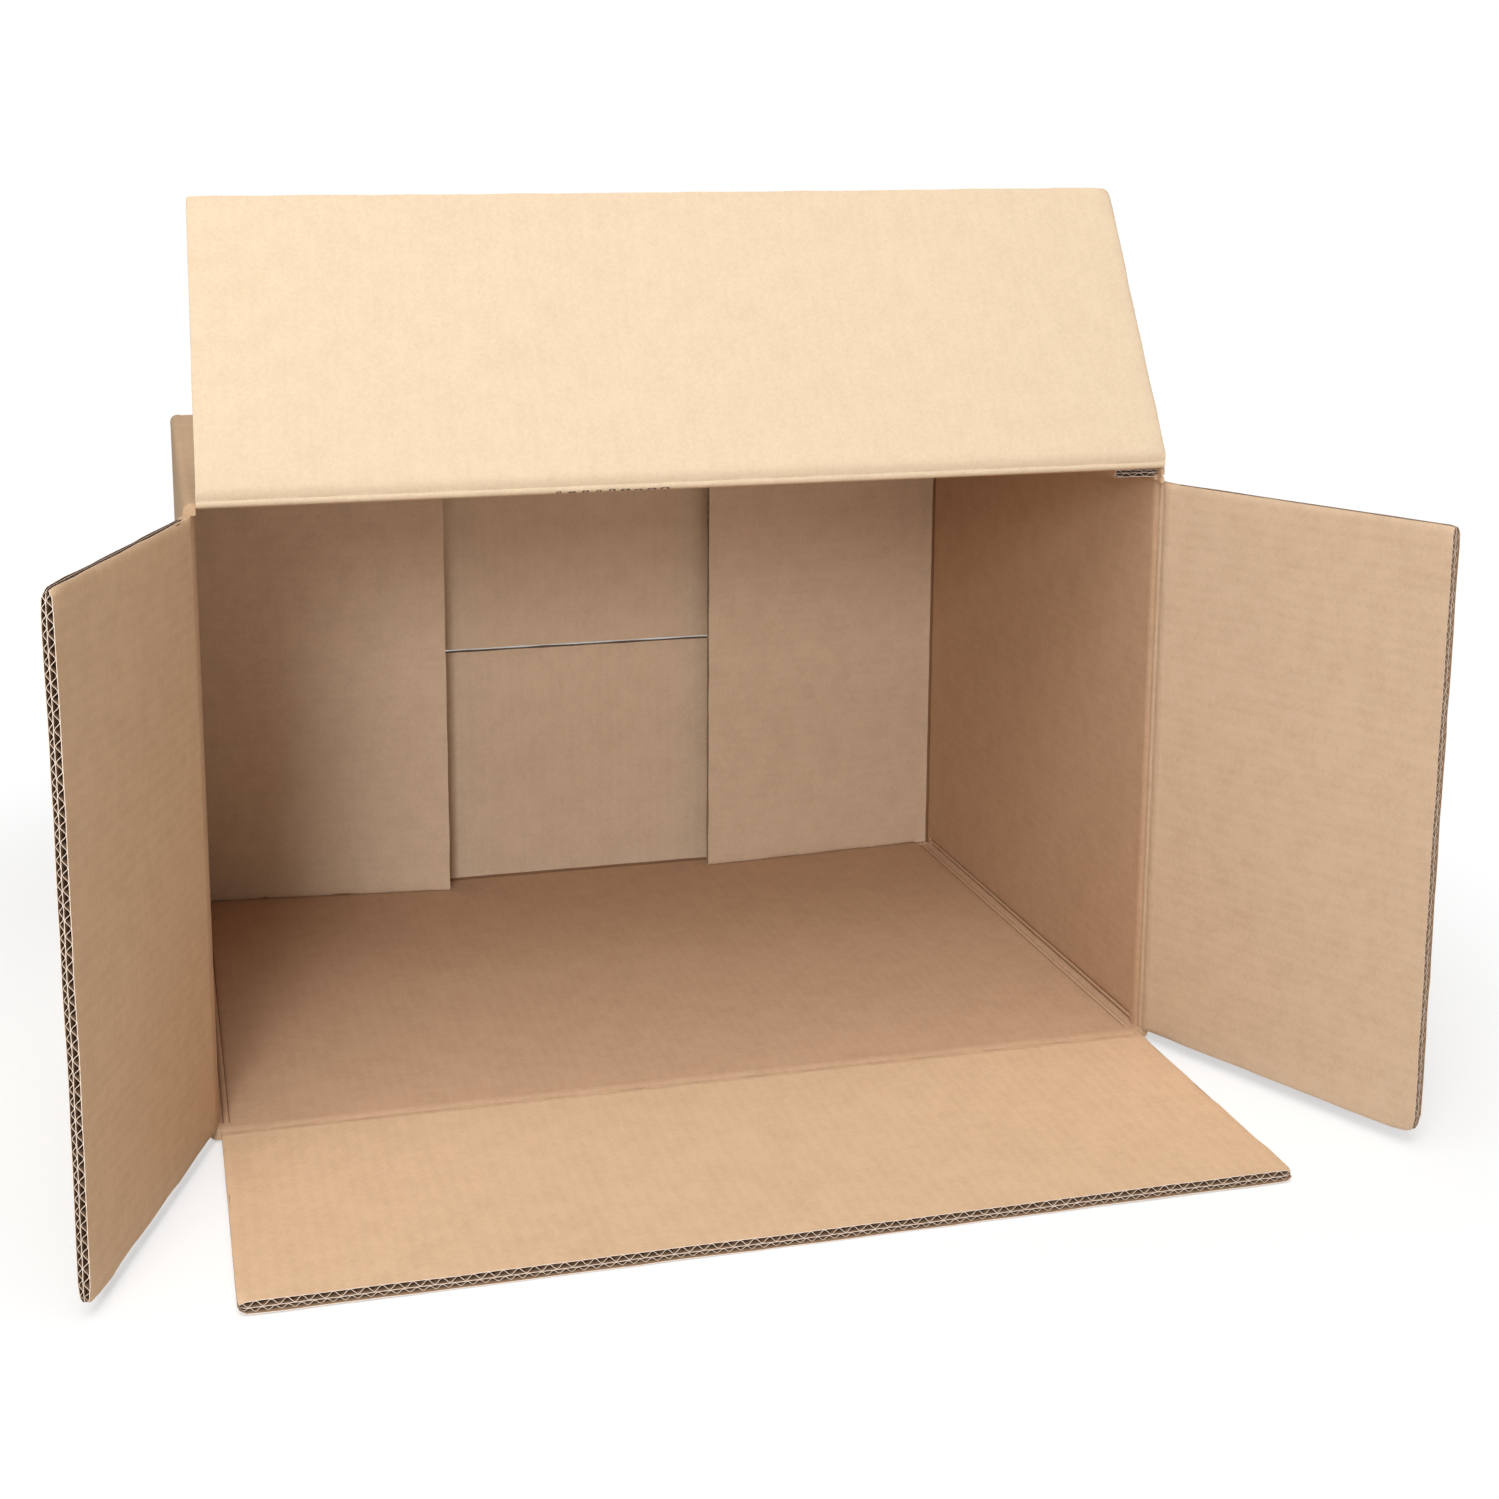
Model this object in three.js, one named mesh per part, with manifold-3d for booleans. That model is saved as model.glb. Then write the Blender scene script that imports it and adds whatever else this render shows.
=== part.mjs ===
// Slotted shipping carton in double wall corrugated board, lying on one long side.
// Its four mouth flaps are open, and its base flaps are folded in and taped.
// Millimetres. X runs along the mouth, Y into the carton, Z up.
// The origin is the centre of the underside of the wall that the carton lies on.
import * as THREE from "three";
import { mergeVertices } from "three/addons/utils/BufferGeometryUtils.js";
import Module from "manifold-3d";

// Outside sizes of the closed carton
const cartonLength = 600;
const cartonWidth = 380;
const cartonDepth = 400;

// Board, from the outside in: liner, small flute, liner, large flute, liner
const linerThickness = 0.4;
const mediumThickness = 0.3;
const smallFluteHeight = 2.2;
const smallFlutePitch = 6.5;
const largeFluteHeight = 3.2;
const largeFlutePitch = 7.9;
const fluteDepth = 30; // how far the open flutes go in from a flap's cut edge
const cutEdgeMargin = 1; // board left beside the outermost flute

// Creases: the board is crushed from the inside to a thin web at the hinge line
const creaseThickness = 2;
const creaseHalfWidth = 9; // from the hinge line to board of full thickness
const creaseGap = 0.2; // from the hinge line to each of the two boards that meet there
const layerGap = 0.4; // between a short flap and the long flap that closes over it

// Folds, slots and the gap between the two long base flaps
const longEdgeRadius = 5;
const baseFoldRadius = 6;
const slotHalfWidth = 3.8;
const slotPastCrease = 3;
const seamGap = 2.6;

// Manufacturer's joint: a crushed lap of the right wall glued inside the top wall
const lapWidth = 30;
const lapThickness = 4.4;
const lapGlueGap = 0.2;
const lapEndGap = 3; // from the lap's ends to the creases
const lapTaper = 12;

// Clear tape over the seam of the base, turned on to both end walls
const tapeWidth = 50;
const tapeThickness = 0.2;
const tapeGap = 0.3;
const tapeTurnOver = 60;

// How far each mouth flap is opened outwards from flat with its wall, in degrees
const topFlapOpening = 120;
const bottomFlapOpening = 0;
const leftFlapOpening = 21;
const rightFlapOpening = 26;

const arcSteps = 5;
const cutMargin = 1; // how far a cutting prism stands out of what it cuts

const board = 3 * linerThickness + smallFluteHeight + largeFluteHeight;
const halfLength = cartonLength / 2;
const halfWidth = cartonWidth / 2;
const halfDepth = cartonDepth / 2;

// Short flaps fold one board deeper, so that the long flaps close over them
const creaseStep = board + layerGap;
// Both kinds of flap end on the blank's straight cut edge
const longFlapReach = halfWidth - seamGap / 2;
const shortFlapReach = longFlapReach + creaseStep;

const wasm = await Module();
wasm.setup();

const xAxis = new THREE.Vector3(1, 0, 0);
const yAxis = new THREE.Vector3(0, 1, 0);
const zAxis = new THREE.Vector3(0, 0, 1);
// A prism along X is drawn in (y, z), one along Y in (z, x), one along Z in (x, y)
const drawingPlane = {
  x: new THREE.Matrix4().makeBasis(yAxis, zAxis, xAxis),
  y: new THREE.Matrix4().makeBasis(zAxis, xAxis, yAxis),
  z: new THREE.Matrix4(),
};

const toVectors = (points) => points.map(([u, v]) => new THREE.Vector2(u, v));

function prism(axis, outline, from, to, holes = []) {
  const shape = new THREE.Shape(toVectors(outline));
  for (const hole of holes) {
    shape.holes.push(new THREE.Path(toVectors(hole)));
  }
  const geometry = new THREE.ExtrudeGeometry(shape, {
    depth: to - from,
    bevelEnabled: false,
  });
  geometry.translate(0, 0, from);
  return toSolid(geometry.applyMatrix4(drawingPlane[axis]));
}

function toSolid(geometry) {
  geometry.deleteAttribute("normal");
  geometry.deleteAttribute("uv");
  const merged = mergeVertices(geometry, 1e-4);
  return new wasm.Manifold(
    new wasm.Mesh({
      numProp: 3,
      vertProperties: merged.attributes.position.array,
      triVerts: new Uint32Array(merged.index.array),
    }),
  );
}

function toMesh(name, solid, material) {
  const { vertProperties, triVerts } = solid.getMesh();
  const geometry = new THREE.BufferGeometry()
    .setAttribute("position", new THREE.BufferAttribute(vertProperties, 3))
    .setIndex(new THREE.BufferAttribute(triVerts, 1));
  geometry.computeVertexNormals();
  const mesh = new THREE.Mesh(geometry, material);
  mesh.name = name;
  return mesh;
}

// Points of a round corner about (u, v), from one angle to another in degrees
function roundCorner(u, v, radius, fromAngle, toAngle) {
  const points = [];
  for (let i = 0; i <= arcSteps; i += 1) {
    const angle = THREE.MathUtils.degToRad(fromAngle + ((toAngle - fromAngle) * i) / arcSteps);
    points.push([u + radius * Math.cos(angle), v + radius * Math.sin(angle)]);
  }
  return points;
}

const kraft = (color) => new THREE.MeshStandardMaterial({ color, roughness: 0.9, metalness: 0 });

// The four panels of the tube. Each is drawn as the top wall is, facing up about the tube's
// axis, and turned about that axis to its own side. across is the panel's outside width,
// out its distance from the axis, step how much deeper its flaps fold.
const topPanel = { turn: 0, across: cartonLength, out: halfWidth, step: 0, reach: longFlapReach };
const bottomPanel = { ...topPanel, turn: 180 };
const leftPanel = {
  turn: -90,
  across: cartonWidth,
  out: halfLength,
  step: creaseStep,
  reach: shortFlapReach,
};
// The right wall folds into the lap one board lower, so its flaps are narrower at that end
const lapEndTrim = board + lapGlueGap + lapThickness / 2 - board / 2;
const rightPanel = { ...leftPanel, turn: 90, lapEndTrim };
const panels = [topPanel, rightPanel, bottomPanel, leftPanel];

// The two sides of a panel's flaps, beside the slots
function flapSides(panel) {
  const half = panel.across / 2 - board / 2 - slotHalfWidth;
  return [-half + (panel.lapEndTrim ?? 0), half];
}

// Half of a crease in (distance from the hinge line, depth below the outer face). Its end
// is mitred at 45 degrees, so that a flap can fold in square.
const creaseOutline = [
  [creaseGap, 0],
  [creaseGap + creaseThickness, creaseThickness],
  [creaseGap + creaseHalfWidth, board],
];

// Where a panel's mouth crease and base fold lie along the carton
const mouthOf = (panel) => panel.step - halfDepth;
const backOf = (panel) => halfDepth - panel.step;

// The mouth end of a wall in (y, z), from its outer face to its inner one
function mouthEnd(panel) {
  return creaseOutline.map(([along, depth]) => [mouthOf(panel) + along, panel.out - depth]);
}

// The bend into the base flap in (y, z), from the flap's outer face to the wall's
function baseFold(panel) {
  const { out } = panel;
  return roundCorner(backOf(panel) - baseFoldRadius, out - baseFoldRadius, baseFoldRadius, 0, 90);
}

// A wall with the base flap folded in behind it, as one bent strip of board
function wallAndBaseFlap(panel) {
  const inner = panel.out - board;
  const back = backOf(panel);
  const outline = [
    ...mouthEnd(panel),
    [back - board, inner],
    [back - board, panel.out - panel.reach],
    [back, panel.out - panel.reach],
    ...baseFold(panel),
  ];
  const [left, right] = flapSides(panel);
  return prism("x", outline, left, right).rotate([0, panel.turn, 0]);
}

// What is cut from the tube at the two ends of a wall, so that only the corners reach on to
// the slots there
function wallEndCuts(panel) {
  const over = panel.out + cutMargin;
  const under = panel.out - 2 * board;
  const front = -halfDepth - cutMargin;
  const rear = halfDepth + cutMargin;
  const end = mouthEnd(panel);
  const atMouth = [
    [front, over],
    [end[0][0], over],
    ...end,
    [end[end.length - 1][0], under],
    [front, under],
  ];
  const atBase = [
    [backOf(panel) - baseFoldRadius, over],
    [rear, over],
    [rear, under],
    [backOf(panel), under],
    ...baseFold(panel),
  ];
  const [left, right] = flapSides(panel);
  const cuts = prism("x", atMouth, left, right).add(prism("x", atBase, left, right));
  return cuts.rotate([0, panel.turn, 0]);
}

// Section of the tube in (z, x), as one strip from the top wall's cut edge round to the
// fold of the lap, and the lap itself, tapered at both ends
function tube() {
  const innerLength = halfLength - board;
  const innerWidth = halfWidth - board;
  const edge = longEdgeRadius;
  const lapTop = innerWidth - lapGlueGap;
  const lapUnder = lapTop - lapThickness;
  const outline = [
    [halfWidth, halfLength],
    ...roundCorner(halfWidth - edge, edge - halfLength, edge, 0, -90),
    ...roundCorner(edge - halfWidth, edge - halfLength, edge, -90, -180),
    ...roundCorner(edge - halfWidth, halfLength - edge, edge, 180, 90),
    ...roundCorner(lapTop - edge, halfLength - edge, edge, 90, 0),
    [lapTop, innerLength],
    [-innerWidth, innerLength],
    [-innerWidth, -innerLength],
    [innerWidth, -innerLength],
    [innerWidth, halfLength],
  ];
  const tubeEnd = halfDepth - slotPastCrease;
  const lapRoot = innerLength + board / 2;
  const lapFront = mouthOf(topPanel) + creaseHalfWidth + lapEndGap;
  const lapBack = backOf(rightPanel) - board - lapEndGap;
  const lapOutline = [
    [lapRoot, lapFront],
    [lapRoot, lapBack],
    [innerLength - lapWidth, lapBack - lapTaper],
    [innerLength - lapWidth, lapFront + lapTaper],
  ];
  const strip = prism("y", outline, -tubeEnd, tubeEnd);
  return strip.add(prism("z", lapOutline, lapUnder, lapTop));
}

// Open flutes along a flap's cut edge, in one of its two layers. The medium is a zigzag
// between two liners, and each flute is the triangle left on one side of it.
function flutes(left, right, base, height, pitch) {
  const slope = Math.atan2(height, pitch / 2);
  const baseInset = mediumThickness / 2 / Math.sin(slope);
  const tipInset = mediumThickness / 2 / Math.cos(slope);
  const count = Math.floor((right - left - 2 * cutEdgeMargin) / pitch);
  const start = (left + right - count * pitch) / 2;
  const triangles = [];
  for (let i = 0; i < 2 * count - 1; i += 1) {
    const from = start + (i * pitch) / 2;
    const pointsUp = i % 2 === 0;
    const flat = pointsUp ? base : base + height;
    const tip = pointsUp ? base + height - tipInset : base + tipInset;
    triangles.push([
      [flat, from + baseInset],
      [flat, from + pitch - baseInset],
      [tip, from + pitch / 2],
    ]);
  }
  return triangles;
}

// A mouth flap, flat: Y runs from its hinge line to its cut edge, Z from outside to inside
function mouthFlap(panel) {
  const [left, right] = flapSides(panel);
  const fluteStart = panel.reach - fluteDepth;
  const rootOutline = [...creaseOutline, [fluteStart, board], [fluteStart, 0]];
  const edgeOutline = [
    [0, left],
    [board, left],
    [board, right],
    [0, right],
  ];
  const smallBase = linerThickness;
  const largeBase = smallBase + smallFluteHeight + linerThickness;
  const openFlutes = [
    ...flutes(left, right, smallBase, smallFluteHeight, smallFlutePitch),
    ...flutes(left, right, largeBase, largeFluteHeight, largeFlutePitch),
  ];
  const root = prism("x", rootOutline, left, right);
  return root.add(prism("y", edgeOutline, fluteStart, panel.reach, openFlutes));
}

// Hangs a flap at its hinge line, on the outer face of its wall
function hungFlap(name, panel, opening, material) {
  const side = new THREE.Group();
  side.rotation.y = THREE.MathUtils.degToRad(panel.turn);
  const hinge = new THREE.Group();
  hinge.position.set(0, mouthOf(panel), panel.out);
  hinge.rotation.x = THREE.MathUtils.degToRad(180 - opening);
  hinge.add(toMesh(name, mouthFlap(panel), material));
  side.add(hinge);
  return side;
}

// Tape along the base seam and round its two ends, drawn in (x, y)
function seamTape() {
  const flapEdge = flapSides(topPanel)[1];
  const bend = backOf(leftPanel) - baseFoldRadius / 2;
  const path = (offset) => [
    [halfLength + offset, bend - tapeTurnOver],
    [halfLength + offset, bend],
    [flapEdge + offset, halfDepth + offset],
    [-flapEdge - offset, halfDepth + offset],
    [-halfLength - offset, bend],
    [-halfLength - offset, bend - tapeTurnOver],
  ];
  const under = path(tapeGap);
  const over = path(tapeGap + tapeThickness);
  return prism("z", [...over, ...under.reverse()], -tapeWidth / 2, tapeWidth / 2);
}

const carton = new THREE.Group();
carton.position.z = halfWidth;

const cornerTube = panels.reduce((rest, panel) => rest.subtract(wallEndCuts(panel)), tube());
const body = panels.reduce((joined, panel) => joined.add(wallAndBaseFlap(panel)), cornerTube);
carton.add(toMesh("carton_body", body, kraft(0xb48c64)));

carton.add(hungFlap("top_long_flap", topPanel, topFlapOpening, kraft(0xe3c79c)));
carton.add(hungFlap("bottom_long_flap", bottomPanel, bottomFlapOpening, kraft(0xc9a577)));
carton.add(hungFlap("left_short_flap", leftPanel, leftFlapOpening, kraft(0xb08a62)));
carton.add(hungFlap("right_short_flap", rightPanel, rightFlapOpening, kraft(0xcaa27a)));

const clearTape = new THREE.MeshStandardMaterial({
  color: 0xe9e6dd,
  roughness: 0.15,
  metalness: 0,
  transparent: true,
  opacity: 0.35,
});
carton.add(toMesh("seam_tape", seamTape(), clearTape));

export default carton;
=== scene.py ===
import math

import bpy
import numpy as np
from mathutils import Matrix, Vector


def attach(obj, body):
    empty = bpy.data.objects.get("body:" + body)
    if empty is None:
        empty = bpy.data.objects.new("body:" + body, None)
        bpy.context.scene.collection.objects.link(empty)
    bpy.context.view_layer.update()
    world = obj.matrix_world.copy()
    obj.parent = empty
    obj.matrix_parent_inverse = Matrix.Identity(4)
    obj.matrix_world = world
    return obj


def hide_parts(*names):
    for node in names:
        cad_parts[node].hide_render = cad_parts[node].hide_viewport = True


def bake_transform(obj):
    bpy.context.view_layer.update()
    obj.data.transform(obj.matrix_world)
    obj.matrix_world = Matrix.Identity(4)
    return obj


# Looks of the opened double wall shipping carton. Lengths are in millimetres until a mesh is made.
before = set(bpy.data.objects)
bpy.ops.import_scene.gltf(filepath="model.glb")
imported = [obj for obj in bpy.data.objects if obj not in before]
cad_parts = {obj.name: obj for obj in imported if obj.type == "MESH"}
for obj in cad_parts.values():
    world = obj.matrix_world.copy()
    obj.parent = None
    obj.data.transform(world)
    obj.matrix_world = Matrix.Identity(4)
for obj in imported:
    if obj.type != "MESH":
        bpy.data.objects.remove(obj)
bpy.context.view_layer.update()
mm = 0.001

# the blank, with the sizes that the CAD has
carton = dict(length=600.0, width=380.0, depth=400.0, step=7.0, slotSide=7.1, lapTrim=5.7,
              longReach=188.7, shortReach=195.7, slotPast=3.0, edgeRadius=5.0, foldRadius=6.0)
board = dict(thick=6.6, liner=0.4, medium=0.3, crushed=2.0, creaseGap=0.2, creaseHalf=9.0,
             smallBase=0.4, smallHeight=2.2, smallPitch=6.5,
             largeBase=3.0, largeHeight=3.2, largePitch=7.9)
halfL, halfW, halfD = carton["length"] / 2, carton["width"] / 2, carton["depth"] / 2
thick = board["thick"]
creaseEnd = board["creaseGap"] + board["creaseHalf"]


def panel(turn, across, out, step, reach, trim=0.0):
    half = across / 2 - carton["slotSide"]
    return dict(turn=math.radians(turn), out=out, left=trim - half, right=half, reach=reach,
                mouth=step - halfD, back=halfD - step)


panels = dict(
    top=panel(0, carton["length"], halfW, 0, carton["longReach"]),
    bottom=panel(180, carton["length"], halfW, 0, carton["longReach"]),
    left=panel(-90, carton["width"], halfL, carton["step"], carton["shortReach"]),
    right=panel(90, carton["width"], halfL, carton["step"], carton["shortReach"], carton["lapTrim"]),
)


# smooth noise along x, about +-size: four sines with lengths from scale down to a quarter of it
def ripple(x, seed, scale, size):
    phases = np.random.default_rng(seed).uniform(0, 2 * math.pi, 4)
    waves = [np.sin(2 * math.pi * x * f / scale + p) / f for f, p in zip((1, 1.7, 2.9, 4.3), phases)]
    return size * 0.6 * sum(waves)


# 3x^2 - 2x^3 between 0 and 1
def smoothStep(x):
    x = np.clip(x, 0, 1)
    return x * x * (3 - 2 * x)


# u across the panel, v along the carton and w below the outer face, turned about the tube's axis
def panelPoint(p, u, v, w):
    height = p["out"] - w
    c, s = math.cos(p["turn"]), math.sin(p["turn"])
    return np.stack([u * c + height * s, v + 0 * u, -u * s + height * c + halfW], -1)


# r from the hinge line and w from the flap's outer face, turned outwards about the hinge line
def flapPoint(p, opening, u, r, w):
    c, s = np.cos(opening), np.sin(opening)
    return panelPoint(p, u, p["mouth"] - r * c - w * s, w * c - r * s)


# even samples from start to end, and fine ones at these distances from both ends
def spread(start, end, step, fine=()):
    even = np.linspace(start, end, max(2, int(abs(end - start) / step) + 1))
    near = [start + f for f in fine] + [end - f for f in fine]
    return np.unique(np.round(np.concatenate([even, near]), 3))


# corner numbers of the faces of an n by m grid
def quads(n, m):
    i = (np.arange(n - 1)[:, None] * m + np.arange(m - 1)).ravel()
    return np.stack([i, i + m, i + m + 1, i + 1], 1)


# a closed solid between two grids of points, with a rim round them; slots are the materials
# of its outer side, inner side and rim
def sheet(outer, inner, uv, slots):
    n, m = outer.shape[:2]
    face = quads(n, m)
    ids = np.arange(n * m).reshape(n, m)
    loop = np.concatenate([ids[:-1, 0], ids[-1, :-1], ids[:0:-1, -1], ids[0, :0:-1]])
    ahead = np.roll(loop, -1)
    rim = np.stack([ahead, loop, loop + n * m, ahead + n * m], 1)
    verts = np.concatenate([outer.reshape(-1, 3), inner.reshape(-1, 3)])
    faces = np.concatenate([face, face[:, ::-1] + n * m, rim])
    a, b, c, d = (verts[faces[:, k]] for k in range(4))
    volume = (a * np.cross(b, c)).sum() + (a * np.cross(c, d)).sum()
    if volume < 0:
        faces = faces[:, ::-1]
    sides = [np.broadcast_to(slots[k], (n - 1, m - 1)).ravel() for k in (0, 1)]
    slot = np.concatenate([*sides, np.full(len(rim), slots[2])])
    flat = uv.reshape(-1, 2)
    return dict(verts=verts, faces=faces, uv=np.concatenate([flat, flat]), slot=slot)


# one mesh of several closed solids, in metres, riding on its body
def makePiece(name, parts, materials, body=None, node=None):
    start, faces = 0, []
    for part in parts:
        faces.append(part["faces"] + start)
        start += len(part["verts"])
    faces = np.concatenate(faces)
    verts = np.concatenate([part["verts"] for part in parts]) * mm
    uv = np.concatenate([part["uv"] for part in parts]) * mm
    mesh = bpy.data.meshes.new(name)
    mesh.from_pydata(verts.tolist(), [], faces.tolist())
    mesh.uv_layers.new(name="flutes").data.foreach_set("uv", uv[faces.ravel()].ravel())
    mesh.polygons.foreach_set("material_index", np.concatenate([part["slot"] for part in parts]))
    for material in materials:
        mesh.materials.append(material)
    mesh.shade_smooth()
    mesh.set_sharp_from_angle(angle=math.radians(40))
    mesh.update()
    piece = bpy.data.objects.new(name, mesh)
    bpy.context.scene.collection.objects.link(piece)
    if body:
        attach(piece, body)
    if node:
        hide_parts(node)
    print(name, len(faces) * 2, "triangles")
    return piece


grain = dict(
    cloud=70, pebble=420, fibre=2600, fibreLength=0.22, speck=1500,  # noise scales, per metre
    drift=9, driftBy=5.0,  # the flutes under the liner aren't quite even
    # the first two rib values darken and lighten the colour along the flutes, painted shade and painted
    # highlight, and ribHeight is the bump
    ribPaintedShade=0.022, ribPaintedHighlight=0.014, ribHeight=0.028, pebbleHeight=0.22, fibreHeight=0.03,
    bump=0.55, rough=0.86, shine=0.25,
)


# kraft liner: mottled fibres and specks from noise, and the flutes under it as a faint sine
# across the UV map, in the bump and in the colour, where it is painted shade and highlight along the flutes
def kraft(name, tone, pitch, ribs, mottle=0.07, dark=(0.80, 0.76, 0.72)):
    material = bpy.data.materials.new(name)
    material.use_nodes = True
    nodes, links = material.node_tree.nodes, material.node_tree.links
    nodes.clear()

    def node(kind, **values):
        made = nodes.new(kind)
        for key, value in values.items():
            if key in made.inputs:
                made.inputs[key].default_value = value
            else:
                setattr(made, key, value)
        return made

    def math2(operation, a, b):
        made = node("ShaderNodeMath", operation=operation)
        for socket, value in zip(made.inputs, (a, b)):
            if isinstance(value, bpy.types.NodeSocket):
                links.new(value, socket)
            else:
                socket.default_value = value
        return made.outputs[0]

    def noise(vector, scale, detail, rough=0.5):
        made = node("ShaderNodeTexNoise", Scale=scale, Detail=detail, Roughness=rough)
        links.new(vector, made.inputs["Vector"])
        return made.outputs["Fac"]

    def remap(value, low, high, to0, to1):
        made = node("ShaderNodeMapRange")
        made.inputs["From Min"].default_value = low
        made.inputs["From Max"].default_value = high
        made.inputs["To Min"].default_value = to0
        made.inputs["To Max"].default_value = to1
        links.new(value, made.inputs["Value"])
        return made.outputs["Result"]

    uvMap = node("ShaderNodeUVMap", uv_map="flutes").outputs["UV"]
    place = node("ShaderNodeTexCoord").outputs["Object"]
    split = node("ShaderNodeSeparateXYZ")
    links.new(uvMap, split.inputs[0])
    stretch = node("ShaderNodeMapping")
    stretch.inputs["Scale"].default_value = (grain["fibreLength"], 1.0, 1.0)
    links.new(uvMap, stretch.inputs["Vector"])

    phase = math2("MULTIPLY", split.outputs[0], 2 * math.pi / (pitch * mm))
    drift = math2("MULTIPLY", noise(place, grain["drift"], 2), grain["driftBy"])
    rib = math2("SINE", math2("ADD", phase, drift), 0.0)
    cloud = noise(place, grain["cloud"], 4, 0.6)
    pebble = noise(place, grain["pebble"], 3, 0.6)
    fibre = noise(stretch.outputs["Vector"], grain["fibre"], 3, 0.7)
    speck = noise(place, grain["speck"], 1)

    shade = remap(cloud, 0.3, 0.7, 1 - mottle, 1 + mottle * 0.5)
    shade = math2("MULTIPLY", shade, remap(pebble, 0.3, 0.7, 0.95, 1.04))
    shade = math2("MULTIPLY", shade, remap(fibre, 0.25, 0.75, 0.93, 1.06))
    shade = math2("MULTIPLY", shade, remap(speck, 0.72, 0.80, 1.0, 0.80))
    # the flutes' washboard painted into the colour as darker and lighter stripes: painted shade and painted
    # highlight
    ribPaintedShading = remap(rib, -1, 1, 1 - grain["ribPaintedShade"] * ribs, 1 + grain["ribPaintedHighlight"] * ribs)
    shade = math2("MULTIPLY", shade, ribPaintedShading)

    tint = node("ShaderNodeMix", data_type="RGBA", blend_type="MIX")
    tint.inputs[6].default_value = (*[a * b for a, b in zip(tone, dark)], 1)
    tint.inputs[7].default_value = (*tone, 1)
    links.new(remap(shade, 0.78, 1.02, 0.0, 1.0), tint.inputs[0])

    height = math2("MULTIPLY", rib, grain["ribHeight"] * ribs)
    height = math2("ADD", height, math2("MULTIPLY", pebble, grain["pebbleHeight"]))
    height = math2("ADD", height, math2("MULTIPLY", fibre, grain["fibreHeight"]))
    bump = node("ShaderNodeBump", Strength=grain["bump"], Distance=mm)
    links.new(height, bump.inputs["Height"])
    shader = node("ShaderNodeBsdfPrincipled", Roughness=grain["rough"])
    shader.inputs["Specular IOR Level"].default_value = grain["shine"]
    links.new(tint.outputs[2], shader.inputs["Base Color"])
    links.new(bump.outputs[0], shader.inputs["Normal"])
    links.new(shader.outputs[0], node("ShaderNodeOutputMaterial").inputs["Surface"])
    return material


tones = dict(
    # rear: the inside kraft lightened for the base flaps at the back, painted light
    # wall: the inside kraft darkened for the walls, painted shade of the interior
    wall=(0.55, 0.362, 0.232), rear=(0.75, 0.585, 0.42), outside=(0.56, 0.385, 0.24),
    # topInsidePaintedLight: the inside kraft made lighter and paler for the top flap, painted light where the
    # lamps fall on it
    inside=(0.62, 0.425, 0.265), topInsidePaintedLight=(0.66, 0.515, 0.36),
    # bottomInsidePaintedLight: the inside kraft made lighter for the bottom flap, painted light
    # rightInsidePaintedLight: its own tint of the inside kraft for the right flap, fitted to how that flap is
    # lit: painted light
    bottomInsidePaintedLight=(0.68, 0.475, 0.305), rightInsidePaintedLight=(0.565, 0.41, 0.278),
    # groove: near-black brown for the corner grooves and fold beads, painted shade
    cut=(0.80, 0.66, 0.55), medium=(0.30, 0.19, 0.115), groovePaintedShade=(0.27, 0.15, 0.085),
    # hole: near-black for the torn spots at the top crease, painted shade in the holes
    hole=(0.10, 0.07, 0.05),
)
insideKraft = kraft("kraftInside", tones["inside"], board["largePitch"], 1.0)
outsideKraft = kraft("kraftOutside", tones["outside"], board["smallPitch"], 0.8)
topPaintedLightKraft = kraft("kraftTopFlapPaintedLight", tones["topInsidePaintedLight"], board["largePitch"], 0.4, mottle=0.04)
bottomPaintedLightKraft = kraft("kraftBottomFlapPaintedLight", tones["bottomInsidePaintedLight"], board["largePitch"], 0.9)
rightPaintedLightKraft = kraft("kraftRightFlapPaintedLight", tones["rightInsidePaintedLight"], board["largePitch"], 0.9)
groovePaintedShadeKraft = kraft("kraftGroovePaintedShade", tones["groovePaintedShade"], board["largePitch"], 0.0)
wallPaintedShadeKraft = kraft("kraftWallPaintedShade", tones["wall"], board["largePitch"], 0.7)
rearPaintedLightKraft = kraft("kraftRearFlapsPaintedLight", tones["rear"], board["largePitch"], 0.5)
holeKraft = kraft("kraftHolePaintedShade", tones["hole"], board["largePitch"], 0.0)
cutKraft = kraft("kraftCut", tones["cut"], board["largePitch"], 0.0)
mediumKraft = kraft("kraftMedium", tones["medium"], board["largePitch"], 0.0)
print("materials made")


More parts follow.
